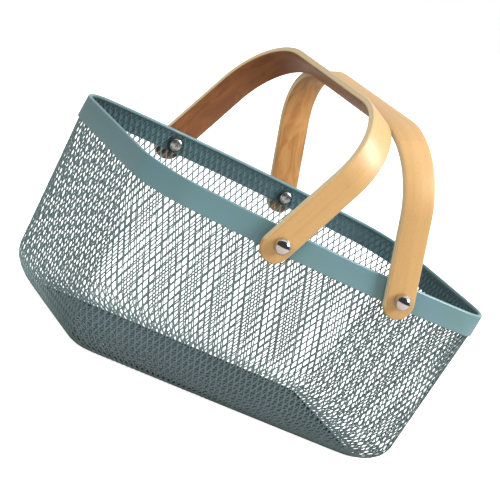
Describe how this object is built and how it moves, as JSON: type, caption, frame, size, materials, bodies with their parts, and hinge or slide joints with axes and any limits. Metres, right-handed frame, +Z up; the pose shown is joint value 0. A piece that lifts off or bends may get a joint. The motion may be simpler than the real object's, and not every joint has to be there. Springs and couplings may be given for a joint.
{
  "type": "storage basket",
  "caption": "Tapered rectangular basket of expanded steel mesh with a flat painted rim band, a mesh floor panel and folding bentwood handles on domed sleeve nuts",
  "frame": {"origin": "middle of the footprint, on the surface that the basket stands on", "axes": "+X along the long side, to the right in the picture; -Y is the front; +Z up"},
  "size_m": [0.36, 0.2792, 0.2882],
  "materials": {
    "mesh_coating": "satin teal powder coat on expanded steel mesh",
    "band_coating": "satin teal powder coat on a flat steel band",
    "bentwood": "clear lacquered bent beech veneers",
    "chrome_nut": "polished chrome domed sleeve nut",
    "spacer_steel": "zinc plated spacer ring",
    "washer_black": "black oxide steel washer",
    "screw_steel": "zinc plated pan head screw"
  },
  "bodies": {
    "basket": {"wall_mesh": "mesh_coating", "floor_mesh": "mesh_coating", "rim_band": "band_coating", "sleeve_nut_front_left": "chrome_nut", "sleeve_nut_front_right": "chrome_nut", "sleeve_nut_back_left": "chrome_nut", "sleeve_nut_back_right": "chrome_nut", "spacer_front_left": "spacer_steel", "spacer_front_right": "spacer_steel", "spacer_back_left": "spacer_steel", "spacer_back_right": "spacer_steel", "inner_washer_front_left": "washer_black", "inner_washer_front_right": "washer_black", "inner_washer_back_left": "washer_black", "inner_washer_back_right": "washer_black", "screw_front_left": "screw_steel", "screw_front_right": "screw_steel", "screw_back_left": "screw_steel", "screw_back_right": "screw_steel"},
    "left_handle": {"left_handle": "bentwood"},
    "right_handle": {"right_handle": "bentwood"}
  },
  "joints": [
    {"name": "left_handle_swing", "type": "hinge", "parent": "basket", "child": "left_handle", "pos_m": [-0.06305, 0, 0.1577], "axis": [0, -1, 0], "range_deg": [0, 135]},
    {"name": "right_handle_swing", "type": "hinge", "parent": "basket", "child": "right_handle", "pos_m": [0.06305, 0, 0.1577], "axis": [0, 1, 0], "range_deg": [0, 135]}
  ]
}
